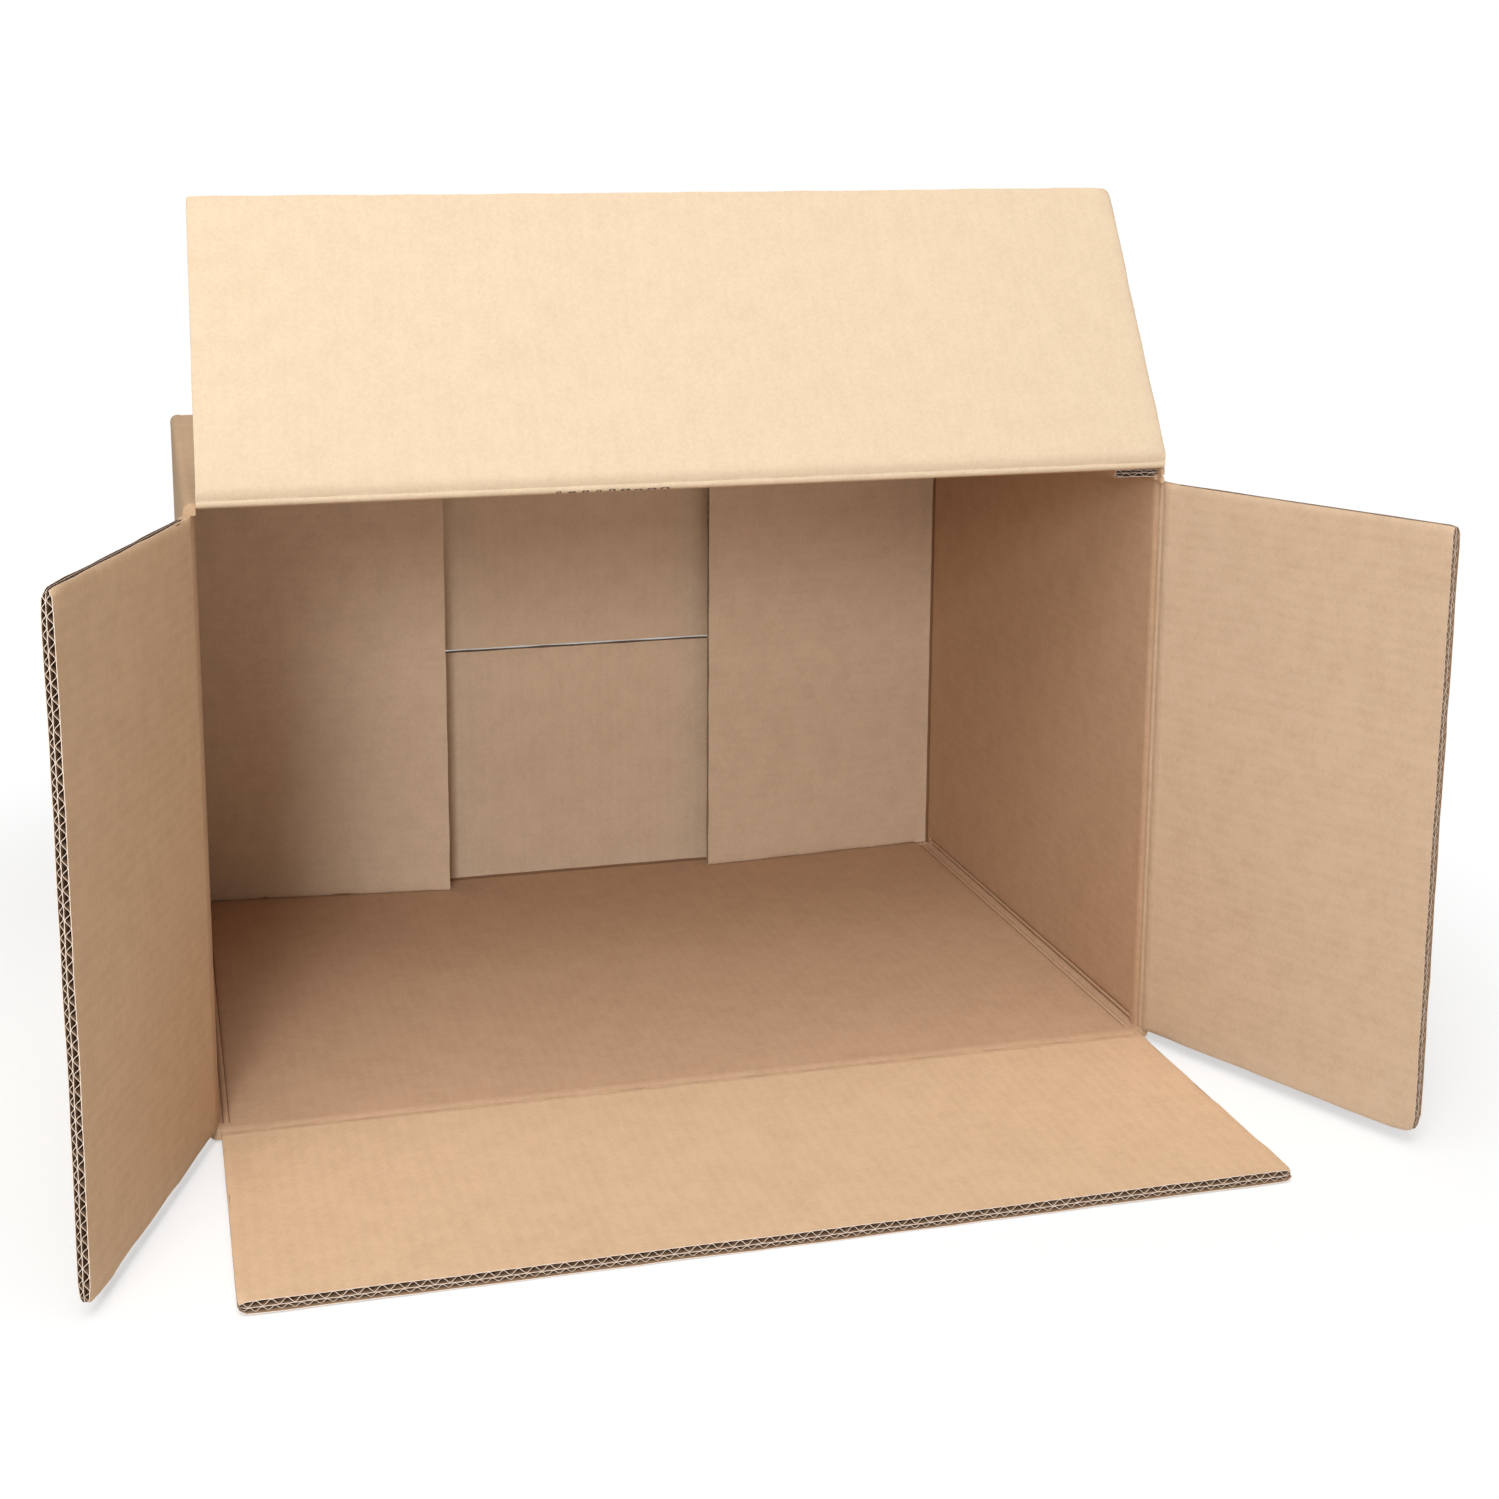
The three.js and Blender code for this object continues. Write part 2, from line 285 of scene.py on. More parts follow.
# double wall board: three flat liners, and two mediums that follow a sine across the flutes,
# all closed sheets. Slots: 0 inside, 1 outside, 2 cut edge, 3 medium. toPoint takes u, r, w.
def layered(toPoint, left, right, start, end, seed, face=0, squeeze=1.0, step=12.0, tail=0.6):
    parts = []
    us = spread(left, right, step, (0.5, 1.2, 2.4, 4.5))
    rs = np.append(np.linspace(start, end, 14), [end - 0.6, end - 2, end - 5])
    rs = np.unique(np.round(rs, 3))
    u, r = np.meshgrid(us, rs, indexing="ij")
    uv = np.stack([u, r], -1)
    share = (r - start) / (end - start)
    liners = ((0.0, 1, 3, tail), (board["smallBase"] + board["smallHeight"], 3, 3, 0.0),
              (thick - board["liner"], 3, face, 0.1))
    for k, (w, under, over, past) in enumerate(liners):
        longer = r + share ** 8 * (past + ripple(u, seed + k, 60, 0.25))
        low = toPoint(u, longer, w * squeeze + 0 * u)
        high = toPoint(u, longer, (w + board["liner"]) * squeeze + 0 * u)
        parts.append(sheet(low, high, uv, (under, over, 2)))
    for k, (size, phase) in enumerate((("small", 0.3), ("large", 1.9))):
        base, height, pitch = (board[size + part] for part in ("Base", "Height", "Pitch"))
        us = np.arange(left + 0.3, right - 0.3, pitch / 10)
        rs = np.append(np.linspace(start, end - 3, 4), end - 0.15)
        u, r = np.meshgrid(us, rs, indexing="ij")
        turn = 2 * math.pi * u / pitch + phase + ripple(u, seed + 7 + k, 90, 0.5)
        rise = (height - board["medium"]) / 2 * np.sin(turn)
        half = board["medium"] / 2 * np.sqrt(1 + (math.pi * height / pitch * np.cos(turn)) ** 2)
        centre = base + height / 2 + rise
        low = toPoint(u, r, (centre - half) * squeeze)
        high = toPoint(u, r, (centre + half) * squeeze)
        parts.append(sheet(low, high, np.stack([u, r], -1), (3, 3, 2)))
    return parts


wear = dict(
    pinch=0.34, pinchReach=1.6, pinchWave=55,  # board crushed thinner at the side cuts
    swell=0.35, swellAcross=0.25, swellAlong=0.08, swellFrom=9, swellRun=80,  # slow waves in the board
    bowRise=1.4, edgeReach=6, edgeWave=0.12,
    cornerPower=1.5, cornerThin=0.45,
)


# the flap's own shape: bowed by a half sine, thinned by an exponential towards its side cuts,
# corners (side, size, pull) pushed in, and dents (u, r, radius, depth) as Gaussian bumps
def worn(p, seed, bow=0.0, corners=(), dents=(), wave=1.0, sway=0.0):
    def shape(u, r, w):
        reach, left, right = p["reach"], p["left"], p["right"]
        across = np.clip((u - left) / (right - left), 0, 1)
        far = np.clip(r / reach, 0, 1)
        side = np.minimum(u - left, right - u)
        pinch = wear["pinch"] * np.exp(-np.clip(side, 0, None) / wear["pinchReach"])
        pinch = pinch * (1 + ripple(r, seed, wear["pinchWave"], 0.5))
        mid = thick / 2
        w = mid + (w - mid) * (1 - pinch)
        # bent to one side only, so that the flaps stay clear of each other when they close
        swell = wear["swell"] + wear["swellAcross"] * ripple(u, seed + 3, 240, 1.0)
        swell = swell + wear["swellAlong"] * ripple(r + 0.3 * u, seed + 4, 120, 1.0)
        rise = smoothStep((r - wear["swellFrom"]) / wear["swellRun"])
        w = w + math.copysign(1, bow) * wave * rise * np.clip(swell, 0, None)
        w = w + smoothStep(far * wear["bowRise"]) * bow * np.sin(math.pi * across)
        u = u + sway * far * (1 - across)
        bite = np.exp(-side / wear["edgeReach"]) * abs(ripple(r, seed + 5, 70, wear["edgeWave"] * wave))
        u = u - np.where(across > 0.5, 1, -1) * bite
        for end, size, pull in corners:
            gap = (u - left) if end < 0 else (right - u)
            near = np.clip(1 - gap / size, 0, 1) * np.clip(1 - (reach - r) / size, 0, 1)
            r = r - near ** wear["cornerPower"] * pull
            u = u - end * near ** wear["cornerPower"] * pull
            w = mid + (w - mid) * (1 - wear["cornerThin"] * near)
        for u0, r0, radius, depth in dents:
            w = w + depth * np.exp(-((u - u0) ** 2 + (r - r0) ** 2) / radius ** 2)
        return u, r, w
    return shape


# the four mouth flaps: opening in degrees from flat with the wall, dip how deep the crease is pressed
flaps = dict(
    top=dict(opening=120, dip=0, seed=11, bow=-0.8, sway=3.6, tail=0.3, material=topPaintedLightKraft,
             corners=((-1, 5, 0.8), (1, 6, 1.2)), dents=((-30, 172, 5, -0.7), (120, 90, 60, -0.5))),
    bottom=dict(opening=0, dip=1.3, seed=23, bow=-0.5, sway=0.0, tail=1.5, material=bottomPaintedLightKraft,
                corners=((1, 5, 0.8), (-1, 5, 1.0)), dents=((-160, 60, 50, -0.5),)),
    left=dict(opening=21, dip=1.5, seed=37, bow=0.8, sway=0.0, tail=0.4, material=insideKraft,
              corners=((1, 6, 1.2), (-1, 8, 1.8)), dents=((-60, 120, 40, 0.7),)),
    right=dict(opening=26, dip=1.5, seed=41, bow=0.6, sway=0.0, tail=0.6, material=rightPaintedLightKraft,
               corners=((1, 10, 2.6), (-1, 4, 0.6)), dents=((40, 90, 45, 0.5),)),
)
nodeOf = dict(top="top_long_flap", bottom="bottom_long_flap",
              left="left_short_flap", right="right_short_flap")

crease = dict(
    profile=(11.0, 9.4, 8.6, 7.2, 5.6, 4.2, 3.0, 2.0, 1.1, 0.4),  # distances from the hinge line
    columns=9.0, width=3.0, hinge=0.12, arcs=7,
    under=0.04, buried=0.25,  # how far the strip lies inside the boards that it runs into
    wave=0.12, evenFrom=7, pull=0.4, roundness=2.5,
)
topCrush = dict(web=2.3, mouth=4.4, run=34.0)  # the top wall is crushed furthest, tapering inwards
torn = dict(start=-88, end=-20, points=13, size=(1.4, 2.9), high=(0.45, 0.85), turn=(0.16, 0.34),
            uneven=0.3, proud=0.22, deep=0.4)


# how much thinner the top wall is at y, fading out behind its crease
def topThinning(y):
    back = smoothStep((y - (panels["top"]["mouth"] + creaseEnd)) / topCrush["run"])
    return (thick - topCrush["mouth"]) * (1 - back)


# where the liner has split along the top crease, the flutes show as small dark spots: wavy rings
# round the fold, one flute apart, filled as near-black discs that paint the shade in the holes
def tornSpots(p, opening, web):
    rng = np.random.default_rng(3)
    spots = []
    for u0 in np.arange(torn["start"], torn["end"], board["largePitch"]):
        size, high = rng.uniform(*torn["size"]), rng.uniform(*torn["high"])
        at = opening * rng.uniform(*torn["turn"])
        around = np.linspace(0, 2 * math.pi, torn["points"])[:-1]
        ring = np.concatenate([around, around[:1]])
        us = u0 + size * np.cos(ring)
        turns = at + high * np.sin(ring) * (1 + torn["uneven"] * np.sin(3 * ring))
        edge = flapPoint(p, turns, us, crease["hinge"], web + torn["proud"])
        middle = np.repeat(edge[:-1].mean(0)[None], len(ring), 0)
        top = np.stack([edge, (edge + middle) / 2], 1)
        low = np.stack([flapPoint(p, turns, us, crease["hinge"], web - torn["deep"])] * 2, 1)
        low[:, 1] = (low[:, 0] + low[:-1, 0].mean(0)) / 2
        spots.append((top, low, us))
    return [sheet(top, low, np.stack([us[:, None] + 0 * top[..., 0], top[..., 1]], -1), (3, 3, 3))
            for top, low, us in spots]


# the crushed web at a flap's hinge line: one profile of depths from the wall's full board, round
# the hinge line, to the flap's, carried along the crease
def creaseStrip(name, p, opening, shape, made):
    seed = made["seed"]
    along = np.array(crease["profile"])
    buried = along > creaseEnd
    if name == "top":
        crushed = smoothStep(along / creaseEnd)
        wallDepth = topCrush["web"] + (topCrush["mouth"] - topCrush["web"]) * crushed
        least = topCrush["web"] - crease["pull"]  # the liner is pulled round the crease in one curve
        nearHinge = 1 - np.clip(along / creaseEnd, 0, 1)
        flapDepth = least + (thick - least) * (1 - nearHinge ** crease["roundness"])
    else:
        dip = made["dip"] * np.exp(-(along / crease["width"]) ** 2)
        wallDepth, flapDepth = thick - dip, thick - dip
    web = flapDepth[-1]
    over = crease["under"] + crease["buried"] * buried
    wallDepth = wallDepth - crease["under"] - crease["buried"] * buried
    flapDepth = flapDepth - crease["under"] - crease["buried"] * buried
    us = spread(p["left"], p["right"], crease["columns"], (0.4, 1.5, 3.0))
    turn = np.linspace(0, opening, crease["arcs"])

    def wallSide(u, a, w):
        return panelPoint(p, u, p["mouth"] + a, w)

    def flapSide(u, a, w):
        far = smoothStep(a / creaseEnd)
        u2, r2, w2 = shape(u, a, w)
        return flapPoint(p, opening, u + (u2 - u) * far, a + (r2 - a) * far, w + (w2 - w) * far)

    outer, inner, length = [], [], []
    for a, d, o in zip(along, wallDepth, over):
        crush = ripple(us, seed + int(a * 3), 45, crease["wave"])
        outer.append(wallSide(us, a + 0 * us, o + 0 * us))
        inner.append(wallSide(us, a + 0 * us, d - np.where(a > crease["evenFrom"], 0, crush)))
        length.append(a)
    for k, t in enumerate(turn):  # round the hinge line
        depth = web + ripple(us, seed + 60 + k, 40, 0.10)
        outer.append(flapPoint(p, t, us, crease["hinge"] + 0 * us, 0 * us))
        inner.append(flapPoint(p, t, us, crease["hinge"] + 0 * us, depth))
        length.append(0.3 - 0.6 * k / (len(turn) - 1))
    for a, d, o in zip(along[::-1], flapDepth[::-1], over[::-1]):
        crush = ripple(us, seed + 90 + int(a * 3), 45, crease["wave"])
        outer.append(flapSide(us, a + 0 * us, o + 0 * us))
        inner.append(flapSide(us, a + 0 * us, d - np.where(a > crease["evenFrom"], 0, crush)))
        length.append(-a)
    outer, inner = np.stack(outer, 1), np.stack(inner, 1)
    uv = np.stack(np.meshgrid(us, np.array(length), indexing="ij"), -1)
    # the wall side of the strip takes slot 4, the darkened wall kraft with its painted shade
    slots = np.where(np.arange(len(length) - 1) < len(along), 4, 0)
    parts = [sheet(outer, inner, uv, (1, slots, 1))]
    if name == "top":
        parts += tornSpots(p, opening, web)
    strip = makePiece(name + "Crease", parts,
                      [made["material"], outsideKraft, cutKraft, holeKraft, wallPaintedShadeKraft])
    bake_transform(strip)


for name, made in flaps.items():
    p, opening = panels[name], math.radians(made["opening"])
    shape = worn(p, made["seed"], made["bow"], made["corners"], made["dents"], sway=made["sway"])
    root = creaseEnd - 0.6  # a little of the board is hidden in the crease strip
    parts = layered(lambda u, r, w: flapPoint(p, opening, *shape(u, r, w)),
                    p["left"], p["right"], root, p["reach"], made["seed"], tail=made["tail"])
    makePiece(name + "Flap", parts, [made["material"], outsideKraft, cutKraft, mediumKraft],
              name + "_flap", nodeOf[name])
    creaseStrip(name, p, opening, shape, made)
print("flaps made")

# the tube of four walls, its base folds and base flaps, and the glued lap
tube = dict(rows=30, hidden=0.5, wave=0.4, foldRun=14.0, innerBend=0.5,
            crushIn=4.5, crushDown=3.5, crushRun=45.0,
            # the value after the grooves is the groove depth past which the inside face is painted dark:
            # painted shade in the grooves
            grooves=((1.9, 1.5, 0.8), (5.6, 0.9, 0.9)), paintedShadeFromDip=0.62)  # place from the corner, depth, width
lap = dict(width=30.0, foldPart=4.0, foldAt=7.6, thick=4.4, gap=0.2, endGap=3.0, taper=4.0,
           taperFrom=-192.6, bend=0.4, overlap=(6.8, 9), raised=0.95,
           below=6.0)  # where the right wall ends under the top and the fold into the lap begins


# outer and inner points round the section, the distance round it, and its ends along Y: straight
# walls with grooves beside the corners, and quarter circles between them
def tubeSection():
    lapTop = halfW - thick - lap["gap"]
    corner = np.array([[halfL, halfW], [-halfL, halfW], [-halfL, -halfW], [halfL, -halfW], [halfL, lapTop]])
    mouths = [panels[n]["mouth"] for n in ("top", "left", "bottom", "right")]
    outer, inner, front, back, dark = [], [], [], [], []

    def add(o, i, f, b, paintedShadeInGroove=False):
        outer.append(o)
        inner.append(i)
        front.append(f)
        back.append(b)
        dark.append(paintedShadeInGroove)

    post = halfD - carton["slotPast"]
    for k in range(4):
        a, b = corner[k], corner[k + 1]
        length = np.linalg.norm(b - a)
        way = (b - a) / length
        inward = np.array([-way[1], way[0]])  # the section runs anticlockwise seen from the mouth
        side = carton["slotSide"]
        last = length - (lap["below"] if k == 3 else side)
        ts = spread(side, last, 14, (0.6, 1.2, 1.8, 2.5, 3.2, 4, 4.8, 5.5, 6.2, 7.2, 10))
        if k == 0:
            for t in (0.0, 3.5, side - 0.02):
                add(a + way * t, a + way * t + inward * thick, -post, post)
        for t in ts:
            nearest = (length - t, min(t, length - t), min(t, length - t), t)[k] - thick  # none at the lap
            dip = sum(deep * math.exp(-((nearest - at) / wide) ** 2) for at, deep, wide in tube["grooves"])
            o = a + way * t
            # stations deep in a groove are flagged for the dark groove kraft, painted shade
            add(o, o + inward * (thick - dip), mouths[k] + creaseEnd - tube["hidden"], tube["foldRun"],
                dip > tube["paintedShadeFromDip"])
        radius = carton["edgeRadius"]
        if k == 3:
            bend, nextWay = lap["bend"], np.array([-1.0, 0.0])
            low = np.array([halfL - thick, lapTop - lap["thick"]])
        else:
            bend, nextWay = tube["innerBend"], inward
            low = b + inward * thick - way * thick
        add(a + way * (last + 0.02), a + way * (last + 0.02) + inward * thick, -post, post)
        centre = b - way * radius + nextWay * radius
        pivot = low - way * bend + nextWay * bend
        for t in np.linspace(0, math.pi / 2, 6):
            arm = way * math.sin(t) - nextWay * math.cos(t)
            add(centre + arm * radius, pivot + arm * bend, -post, post)
        if k == 3:
            for x in (halfL - lap["overlap"][0], halfL - lap["overlap"][1]):
                add(np.array([x, lapTop]), np.array([x, lapTop - lap["thick"]]), lap["taperFrom"], post)
        else:
            follow = b + nextWay * (side - 0.02)
            add(follow, follow - way * thick, -post, post)
    outer, inner = np.array(outer), np.array(inner)
    run = np.concatenate([[0], np.cumsum(np.linalg.norm(np.diff(outer, axis=0), axis=1))])
    return outer, inner, run, np.array(front), np.array(back), np.array(dark), post


# the section carried from the mouth to the base, wall by wall to its own length
def tubeSheet():
    outer, inner, run, front, back, dark, post = tubeSection()
    isWall = back == tube["foldRun"]  # the other stations are the posts at the corners
    isLong = abs(front - (panels["top"]["mouth"] + creaseEnd - tube["hidden"])) < 0.1
    wallBack = np.where(isLong, panels["top"]["back"], panels["left"]["back"]) - tube["foldRun"]
    last = np.where(isWall, wallBack, post)
    share = np.linspace(0, 1, tube["rows"])
    y = front[:, None] + share * (last - front)[:, None]
    wave = ripple(y, 5, 210, 0.35) * np.sin(math.pi * share)

    def lift(points):
        return np.stack([points[:, :1] + 0 * y, y, points[:, 1:] + halfW + 0 * y], -1)

    o, i = lift(outer), lift(inner)
    away = (o - i) / np.linalg.norm(o - i, axis=-1, keepdims=True)
    i = i + away * wave[..., None] * tube["wave"] * isWall[:, None, None]
    onTop = (outer[:, 1] > halfW - 0.01) & isWall
    i[onTop, :, 2] += topThinning(y[onTop])
    # the corner beside the glued lap is crushed in next to the slots, most at its outer faces
    corner = (outer[:, 0] > halfL - 12) & (outer[:, 1] > halfW - 16) & ~isWall
    near = 1 - smoothStep((y[corner] + post) / tube["crushRun"])
    for points in (o, i):
        for axis, crush, face, depth in ((0, "crushIn", halfL, 6.9), (2, "crushDown", 2 * halfW, 9)):
            give = np.clip((points[corner, :, axis] - face + depth) / depth, 0, 1)
            points[corner, :, axis] -= tube[crush] * near * give
    uv = np.stack([run[:, None] + 0 * y, y], -1)
    # faces between two flagged groove stations take slot 5, the dark groove kraft: painted shade in the
    # corner grooves
    slots = np.where(dark[:-1] & dark[1:], 5, 0)[:, None]
    return sheet(o, i, uv, (1, slots, 1))


# the bend from a wall into its base flap: a quarter circle outside, a crushed bead inside
def baseFold(p, seed):
    turn = np.linspace(0, math.pi / 2, 6)
    radius, back, run = carton["foldRadius"], p["back"], tube["foldRun"]
    outerV = np.concatenate([[back - run - 2, back - run, back - 9],
                             back - radius + radius * np.sin(turn), [back, back, back]])
    outerW = np.concatenate([[0.15, 0, 0], radius - radius * np.cos(turn), [9, run, run + 2]])
    outerV[-1] -= 0.15
    innerV = np.concatenate([[back - run - 2, back - run, back - 11.5, back - 9.6, back - 8.4],
                             [back - thick - 0.9, back - thick - 0.3, back - thick - 0.3, back - thick],
                             [back - thick, back - thick, back - thick + 0.15]])
    innerW = np.concatenate([[thick - 0.15, thick, thick, thick - 0.9, thick - 0.7],
                             [thick + 0.1, thick + 0.6, thick + 1.4, thick + 2.6],
                             [thick + 3.6, run, run + 2]])
    us = spread(p["left"], p["right"], 12, (0.5, 2))
    ones = np.ones((len(us), 1))
    u = us[:, None] * np.ones(len(outerV))
    shift = ripple(u, seed, 50, 0.12)
    outer = panelPoint(p, u, ones * outerV, ones * outerW)
    inner = panelPoint(p, u, ones * innerV + shift * 0.5, ones * innerW + shift)
    uv = np.stack([u, ones * np.linspace(back, back + 30, len(outerV))], -1)
    # the wall side keeps the darkened wall kraft, three rows at the bead take the dark groove kraft as
    # painted shade in the fold, and the rest the lightened rear kraft as painted light
    slots = np.repeat([0, 5, 4], [3, 3, len(outerV) - 7])
    return sheet(outer, inner, uv, (1, slots, 2))


# a base flap, leaning inwards by up to lean at its free edge
def baseFlap(p, seed, lean):
    shape = worn(p, seed, wave=0.0)
    start = tube["foldRun"] - tube["hidden"]

    def place(u, r, w):
        u2, r2, w2 = shape(u, r, w)
        return panelPoint(p, u2, p["back"] - w2 - lean * (r2 - start) / (p["reach"] - start), r2)

    # the inner faces of the base flaps take slot 4, the lightened rear kraft: painted light
    return layered(place, p["left"], p["right"], start, p["reach"], seed, face=4, tail=0.0)


# the end of the blank, squeezed thinner and glued inside the top wall
def gluedLap():
    top = halfW - thick - lap["gap"]
    squeeze = lap["thick"] / thick
    front, rear = lap["taperFrom"], panels["right"]["back"] - thick - lap["endGap"]

    def place(u, r, w):
        x = halfL - lap["foldAt"] - u  # u from the fold, r in percent of the lap's length
        cut = lap["taper"] * np.clip(u / lap["width"], 0, 1)
        y = front + cut + (r / 100) * (rear - front - 2 * cut)
        return np.stack([x, y, halfW + top - w + topThinning(y) * lap["raised"]], -1)

    parts = layered(lambda u, r, w: place(u, 100 - r, w), 0.0, lap["width"] - lap["foldPart"], 0.0, 100.0, 71,
                    squeeze=squeeze, step=4, tail=0.0)
    # its side cut runs along the flutes, so no flute end shows there
    side = lap["width"] - lap["foldPart"]
    u, r = np.meshgrid([side, side + board["liner"]], np.linspace(0, 100, 30), indexing="ij")
    low, high = place(u, r, 0 * u), place(u, r, 0 * u + lap["thick"])
    parts.append(sheet(low, high, np.stack([u, r], -1), (0, 0, 0)))
    return parts


baseLean = dict(top=0.0, bottom=0.0, left=19.0, right=13.0)  # short base flaps spring back inwards
shell = [tubeSheet()]
for k, name in enumerate(panels):
    shell.append(baseFold(panels[name], 50 + k))
    shell += baseFlap(panels[name], 61 + 5 * k, baseLean[name])
shell += gluedLap()
# inside faces: the wall kraft darkened as painted shade, the rear kraft lightened as painted light, and the
# groove kraft near-black as painted shade in the grooves
makePiece("cartonShell", shell, [wallPaintedShadeKraft, outsideKraft, cutKraft, mediumKraft, rearPaintedLightKraft, groovePaintedShadeKraft],
          "carton", "carton_body")
print("carton made")

# the clear tape over the base seam
tape = dict(width=50.0, thick=0.2, gap=0.35, turnOver=60.0, tone=(0.80, 0.72, 0.58), rough=0.12, cover=0.35)


def clearTape():
    material = bpy.data.materials.new("clearTape")
    material.use_nodes = True
    nodes, links = material.node_tree.nodes, material.node_tree.links
    nodes.clear()
    gloss = nodes.new("ShaderNodeBsdfPrincipled")
    gloss.inputs["Base Color"].default_value = (*tape["tone"], 1)
    gloss.inputs["Roughness"].default_value = tape["rough"]
    gloss.inputs["Alpha"].default_value = tape["cover"]
    output = nodes.new("ShaderNodeOutputMaterial")
    links.new(gloss.outputs[0], output.inputs["Surface"])
    return material


# round the base in (x, y), off outside the board
def tapePath(off):
    side, bend = panels["top"]["right"], panels["left"]["back"] - carton["foldRadius"] / 2
    right = [[halfL + off, bend - tape["turnOver"]], [halfL + off, bend - 30], [halfL + off, bend],
             [side + off, halfD + off], [side - 40, halfD + off]]
    left = [[-x, y] for x, y in right[::-1]]
    return np.array(right + [[0.0, halfD + off]] + left)


zs = np.linspace(-tape["width"] / 2, tape["width"] / 2, 9) + halfW
paths = [tapePath(tape["gap"]), tapePath(tape["gap"] + tape["thick"])]
grids = [np.stack([q[:, :1] + 0 * zs, q[:, 1:] + 0 * zs, zs + 0 * q[:, :1]], -1) for q in paths]
tapeUv = grids[0][..., [0, 2]]
makePiece("seamTape", [sheet(grids[1], grids[0], tapeUv, (0, 0, 0))], [clearTape()],
          "carton", "seam_tape")

# a pale floor that the camera sees turn white away from the carton, with the shadow kept close to it
floorLook = dict(size=30.0, drop=0.0015, tone=0.95, rough=0.95, white=1.02,
                 fadeFrom=0.45, fadeTo=0.80, shareFrom=0.45)
far = floorLook["size"]
floorMesh = bpy.data.meshes.new("floor")
floorMesh.from_pydata([(-far, -far, 0), (far, -far, 0), (far, far, 0), (-far, far, 0)], [], [(0, 1, 2, 3)])
floorMaterial = bpy.data.materials.new("floor")
floorMaterial.use_nodes = True
floorNodes, floorLinks = floorMaterial.node_tree.nodes, floorMaterial.node_tree.links
floorShader = floorNodes["Principled BSDF"]
floorShader.inputs["Base Color"].default_value = (*[floorLook["tone"]] * 3, 1)
floorShader.inputs["Roughness"].default_value = floorLook["rough"]
floorPlace = floorNodes.new("ShaderNodeTexCoord")
floorAway = floorNodes.new("ShaderNodeVectorMath")
floorAway.operation = "LENGTH"
floorFade = floorNodes.new("ShaderNodeMapRange")
floorFade.interpolation_type = "SMOOTHSTEP"
floorFade.inputs["From Min"].default_value = floorLook["fadeFrom"]
floorFade.inputs["From Max"].default_value = floorLook["fadeTo"]
floorFade.inputs["To Min"].default_value = floorLook["shareFrom"]
floorFade.inputs["To Max"].default_value = 1.0
floorSeen = floorNodes.new("ShaderNodeLightPath")
floorShare = floorNodes.new("ShaderNodeMath")
floorShare.operation = "MULTIPLY"
floorWhite = floorNodes.new("ShaderNodeEmission")
floorWhite.inputs["Strength"].default_value = floorLook["white"]
floorMix = floorNodes.new("ShaderNodeMixShader")
floorLinks.new(floorPlace.outputs["Object"], floorAway.inputs[0])
floorLinks.new(floorAway.outputs["Value"], floorFade.inputs["Value"])
floorLinks.new(floorFade.outputs["Result"], floorShare.inputs[0])
floorLinks.new(floorSeen.outputs["Is Camera Ray"], floorShare.inputs[1])
floorLinks.new(floorShare.outputs[0], floorMix.inputs[0])
floorLinks.new(floorShader.outputs[0], floorMix.inputs[1])
floorLinks.new(floorWhite.outputs[0], floorMix.inputs[2])
floorLinks.new(floorMix.outputs[0], floorNodes["Material Output"].inputs["Surface"])
floorMesh.materials.append(floorMaterial)
floor = bpy.data.objects.new("floor", floorMesh)
floor.location.z = -floorLook["drop"]
bpy.context.scene.collection.objects.link(floor)
print("floor made")


def areaLight(name, place, target, size, power, tint=(1, 1, 1)):
    light = bpy.data.lights.new(name, "AREA")
    light.shape = "DISK"
    light.size = size
    light.energy = power
    light.color = tint
    lamp = bpy.data.objects.new(name, light)
    lamp.location = place
    lamp.rotation_euler = (Vector(target) - Vector(place)).to_track_quat("-Z", "Y").to_euler()
    bpy.context.scene.collection.objects.link(lamp)


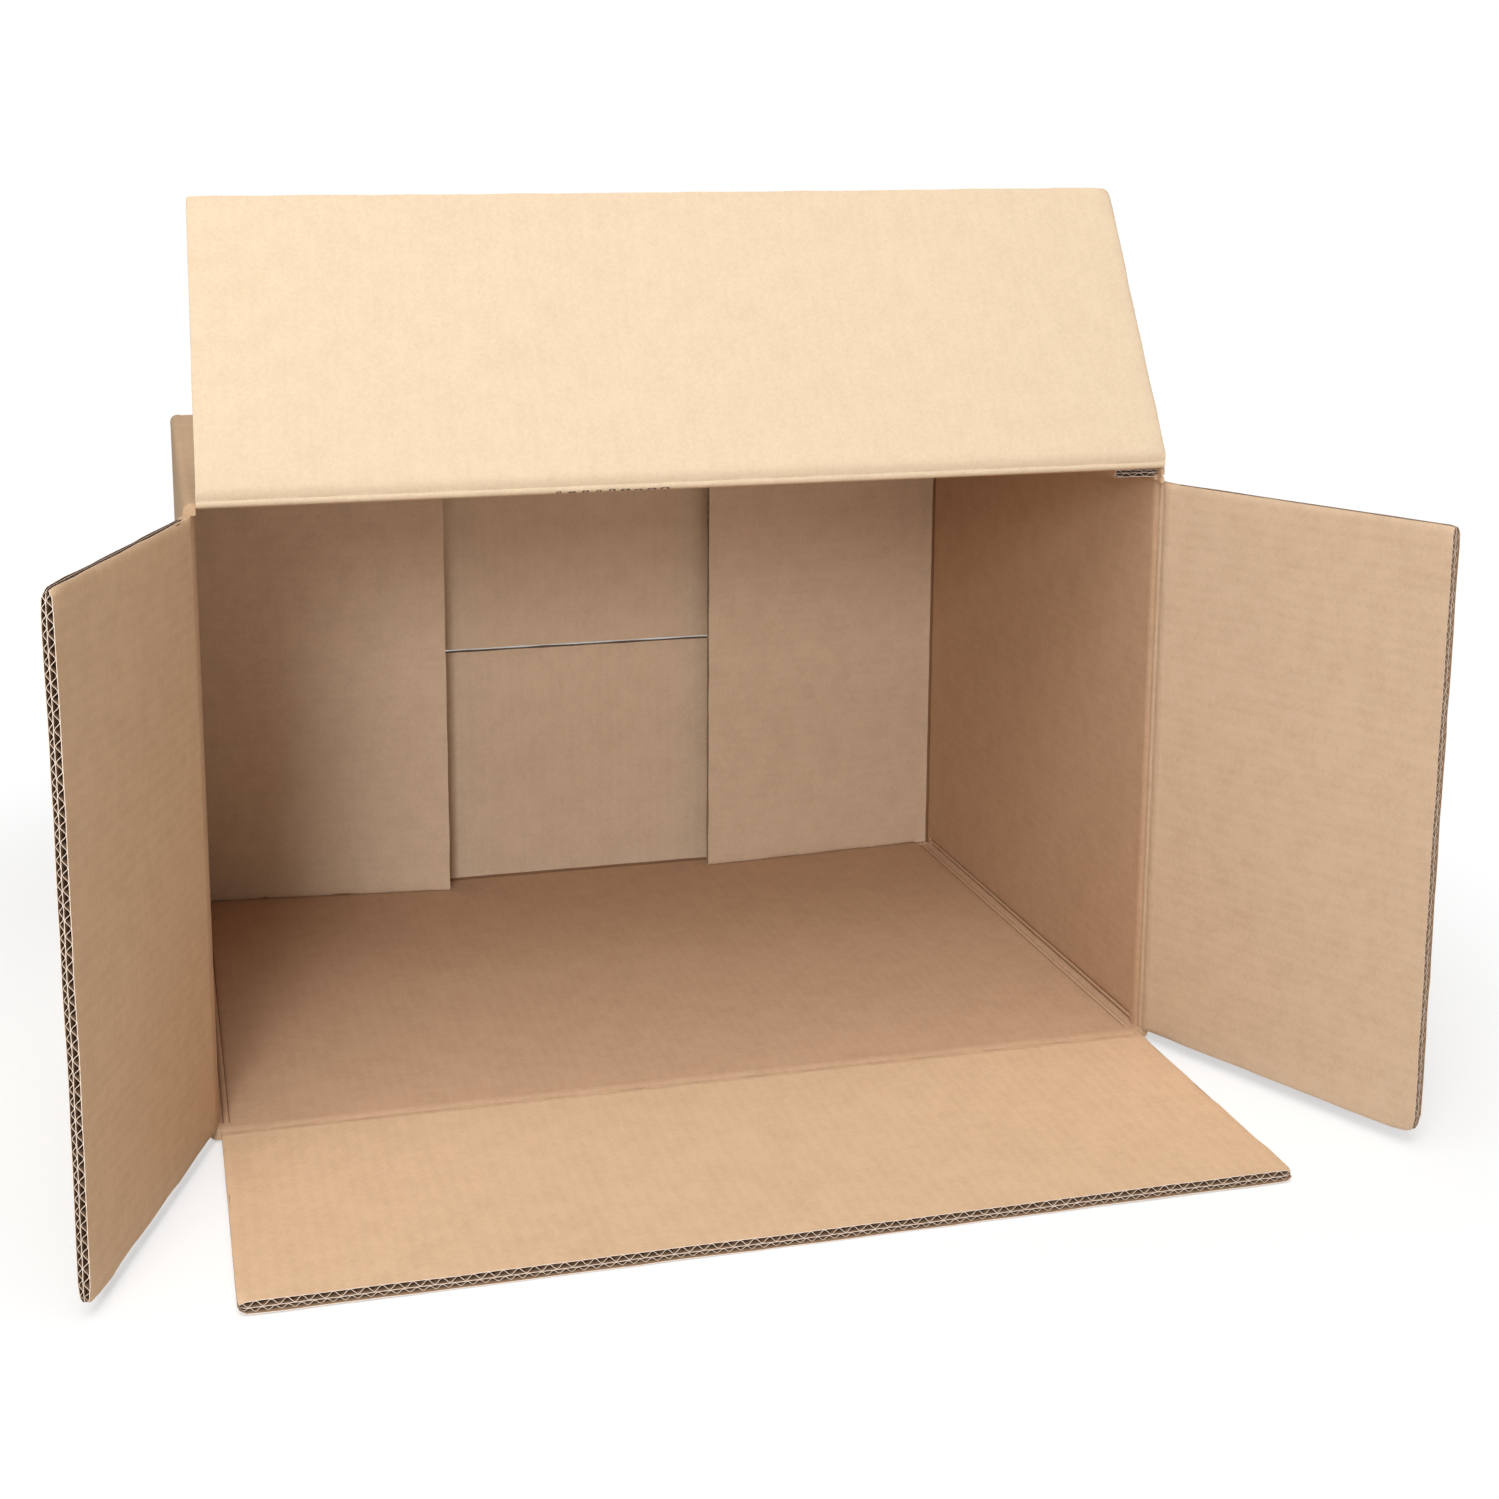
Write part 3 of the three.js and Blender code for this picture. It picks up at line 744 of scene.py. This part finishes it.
lights = dict(
    key=dict(place=(-0.9, -2.3, 2.7), target=(0, -0.2, 0.2), size=1.8, power=50,
             tint=(1.0, 0.98, 0.95)),
    over=dict(place=(-0.2, -0.9, 3.0), target=(0, -0.3, 0.0), size=2.6, power=44),
    front=dict(place=(-1.15, -3.1, 1.45), target=(0.1, 0.1, 0.15), size=0.9, power=42,
               tint=(0.96, 0.98, 1.0)),
)
for name, made in lights.items():
    areaLight(name, **made)

studio = dict(ambient=0.20, tint=(1.0, 0.99, 0.97), backdrop=1.0)
world = bpy.data.worlds.new("studio")
bpy.context.scene.world = world
world.use_nodes = True
worldNodes, worldLinks = world.node_tree.nodes, world.node_tree.links
worldNodes.clear()
rays = worldNodes.new("ShaderNodeLightPath")
ambient = worldNodes.new("ShaderNodeBackground")
ambient.inputs["Color"].default_value = (*studio["tint"], 1)
ambient.inputs["Strength"].default_value = studio["ambient"]
seen = worldNodes.new("ShaderNodeBackground")
seen.inputs["Color"].default_value = (1, 1, 1, 1)
seen.inputs["Strength"].default_value = studio["backdrop"]
choose = worldNodes.new("ShaderNodeMixShader")
worldOut = worldNodes.new("ShaderNodeOutputWorld")
worldLinks.new(rays.outputs["Is Camera Ray"], choose.inputs[0])
worldLinks.new(ambient.outputs[0], choose.inputs[1])
worldLinks.new(seen.outputs[0], choose.inputs[2])
worldLinks.new(choose.outputs[0], worldOut.inputs["Surface"])
bpy.context.scene.view_settings.view_transform = "Standard"
print("lights made")

view = dict(  # the place and turn from which the photo was taken
    sensor=36, lens=50.55, shift=(0.07305, -0.15310), place=(-0.31842, -1.37597, 0.57923),
    right=(0.97287578, -0.23130502, -0.00327274), up=(0.04447926, 0.17316001, 0.98388882),
    ahead=(0.22701172, 0.95734717, -0.17875146),
)
camera = bpy.data.cameras.new("camera")
camera.sensor_width = view["sensor"]
camera.lens = view["lens"]
camera.shift_x, camera.shift_y = view["shift"]
camera.clip_end = 100
cameraObject = bpy.data.objects.new("camera", camera)
viewTurn = Matrix((view["right"], view["up"], -Vector(view["ahead"]))).transposed().to_4x4()
cameraObject.matrix_world = Matrix.Translation(view["place"]) @ viewTurn
bpy.context.scene.collection.objects.link(cameraObject)
bpy.context.scene.camera = cameraObject
